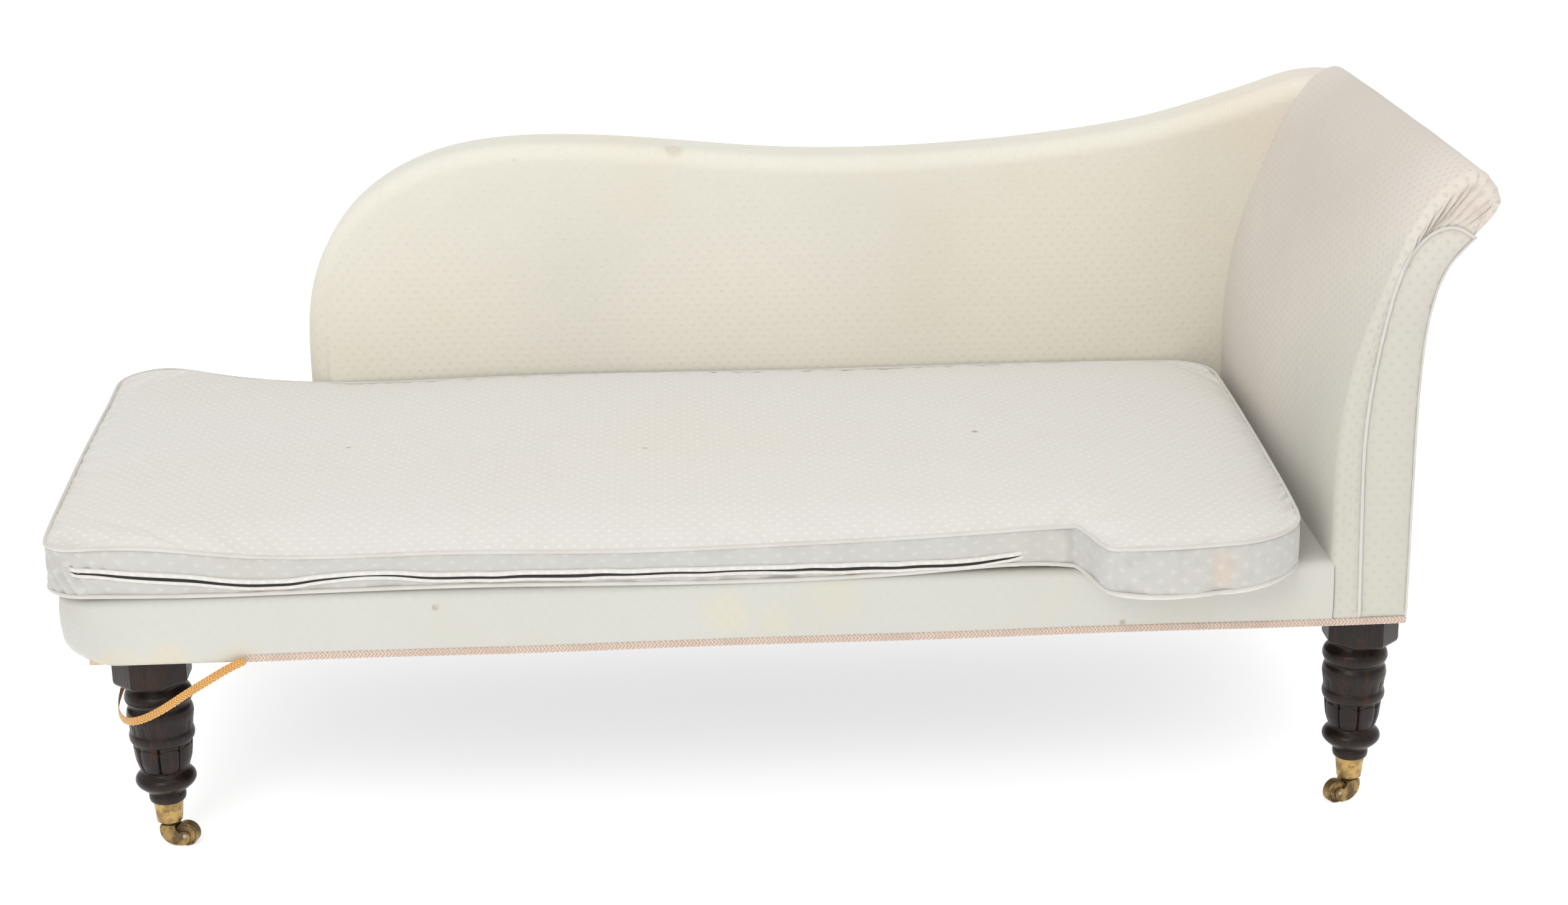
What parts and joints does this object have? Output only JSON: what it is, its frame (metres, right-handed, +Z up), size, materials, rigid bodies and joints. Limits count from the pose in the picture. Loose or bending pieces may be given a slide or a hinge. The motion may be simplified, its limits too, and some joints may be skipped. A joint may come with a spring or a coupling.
{
  "type": "fainting couch",
  "caption": "upholstered couch with a loose boxed seat cushion, one scrolled arm, a waved back and turned legs on swivel castors",
  "frame": {"origin": "on the floor under the centre of the couch's bounding box", "axes": "+X along the couch towards the scrolled arm, +Y from the sitter's front edge to the back, +Z up"},
  "size_m": [1.8297, 0.9176, 0.8571],
  "materials": {
    "cover_fabric": "woven cotton damask, cream with a small tonal lozenge spot, slightly soiled",
    "cushion_fabric": "woven cotton damask, paler cream with the same small spot",
    "piping_fabric": "cord covered in the same damask",
    "gimp_trim": "woven gimp, pinkish cream",
    "gold_braid": "woven scalloped braid, old gold",
    "black_cloth": "thin black dust cloth",
    "webbing": "jute webbing",
    "hessian": "open jute cloth",
    "stuffing": "curled hair pad",
    "cushion_feather": "down-proof cambric case filled with feather",
    "leg_wood": "turned and carved hardwood, very dark red-brown polish",
    "frame_wood": "planed beech, unfinished",
    "castor_brass": "cast brass, tarnished, polished on the edges",
    "castor_steel": "turned steel, dull"
  },
  "bodies": {
    "frame": {"arm_back_post": "frame_wood", "arm_front_facing": "cover_fabric", "arm_front_post": "frame_wood", "arm_inside_cover": "cover_fabric", "arm_outside_cover": "cover_fabric", "arm_piping": "piping_fabric", "arm_roll_rail": "frame_wood", "arm_stay_rail": "frame_wood", "arm_stuffing": "stuffing", "arm_webbing": "webbing", "back_foot_cup": "castor_brass", "back_foot_leg": "leg_wood", "back_foot_post": "frame_wood", "back_head_cup": "castor_brass", "back_head_leg": "leg_wood", "back_head_post": "frame_wood", "back_inside_cover": "cover_fabric", "back_outside_cover": "cover_fabric", "back_rail": "frame_wood", "back_slats": "frame_wood", "back_stay_rail": "frame_wood", "back_stuffing": "stuffing", "back_top_rail": "frame_wood", "back_webbing": "webbing", "bottom_braid": "gimp_trim", "bottom_cloth": "black_cloth", "castor_pins": "castor_steel", "corner_blocks": "frame_wood", "cup_screws": "castor_brass", "foot_end_pad": "cover_fabric", "foot_rail": "frame_wood", "front_foot_cup": "castor_brass", "front_foot_leg": "leg_wood", "front_head_cup": "castor_brass", "front_head_leg": "leg_wood", "front_rail": "frame_wood", "head_rail": "frame_wood", "loose_braid": "gold_braid", "seat_braces": "frame_wood", "seat_cover": "cover_fabric", "seat_hessian": "hessian", "seat_stuffing": "stuffing", "seat_webbing": "webbing"},
    "cushion": {"cushion_cover": "cushion_fabric", "cushion_filling": "cushion_feather", "cushion_piping": "piping_fabric"},
    "front_foot_castor": {"front_foot_horn": "castor_brass", "front_foot_axle": "castor_steel"},
    "front_foot_roller": {"front_foot_wheel": "castor_brass"},
    "front_head_castor": {"front_head_horn": "castor_brass", "front_head_axle": "castor_steel"},
    "front_head_roller": {"front_head_wheel": "castor_brass"},
    "back_foot_castor": {"back_foot_horn": "castor_brass", "back_foot_axle": "castor_steel"},
    "back_foot_roller": {"back_foot_wheel": "castor_brass"},
    "back_head_castor": {"back_head_horn": "castor_brass", "back_head_axle": "castor_steel"},
    "back_head_roller": {"back_head_wheel": "castor_brass"}
  },
  "joints": [
    {"name": "cushion_lift", "type": "slide", "parent": "frame", "child": "cushion", "axis": [0, 0, 1], "range_m": [0, 0.5]},
    {"name": "front_foot_swivel", "type": "hinge", "parent": "frame", "child": "front_foot_castor", "pos_m": [-0.768, -0.29375, 0.03], "axis": [0, 0, 1], "continuous": true},
    {"name": "front_foot_roll", "type": "hinge", "parent": "front_foot_castor", "child": "front_foot_roller", "pos_m": [-0.74648, -0.29832, 0.0155], "axis": [0.2079, 0.9781, 0], "continuous": true},
    {"name": "front_head_swivel", "type": "hinge", "parent": "frame", "child": "front_head_castor", "pos_m": [0.768, -0.29375, 0.03], "axis": [0, 0, 1], "continuous": true},
    {"name": "front_head_roll", "type": "hinge", "parent": "front_head_castor", "child": "front_head_roller", "pos_m": [0.74806, -0.30305, 0.0155], "axis": [0.4226, -0.9063, 0], "continuous": true},
    {"name": "back_foot_swivel", "type": "hinge", "parent": "frame", "child": "back_foot_castor", "pos_m": [-0.768, 0.39825, 0.03], "axis": [0, 0, 1], "continuous": true},
    {"name": "back_foot_roll", "type": "hinge", "parent": "back_foot_castor", "child": "back_foot_roller", "pos_m": [-0.78485, 0.41239, 0.0155], "axis": [-0.6428, -0.766, 0], "continuous": true},
    {"name": "back_head_swivel", "type": "hinge", "parent": "frame", "child": "back_head_castor", "pos_m": [0.768, 0.39825, 0.03], "axis": [0, 0, 1], "continuous": true},
    {"name": "back_head_roll", "type": "hinge", "parent": "back_head_castor", "child": "back_head_roller", "pos_m": [0.78602, 0.41087, 0.0155], "axis": [-0.5736, 0.8192, 0], "continuous": true}
  ]
}
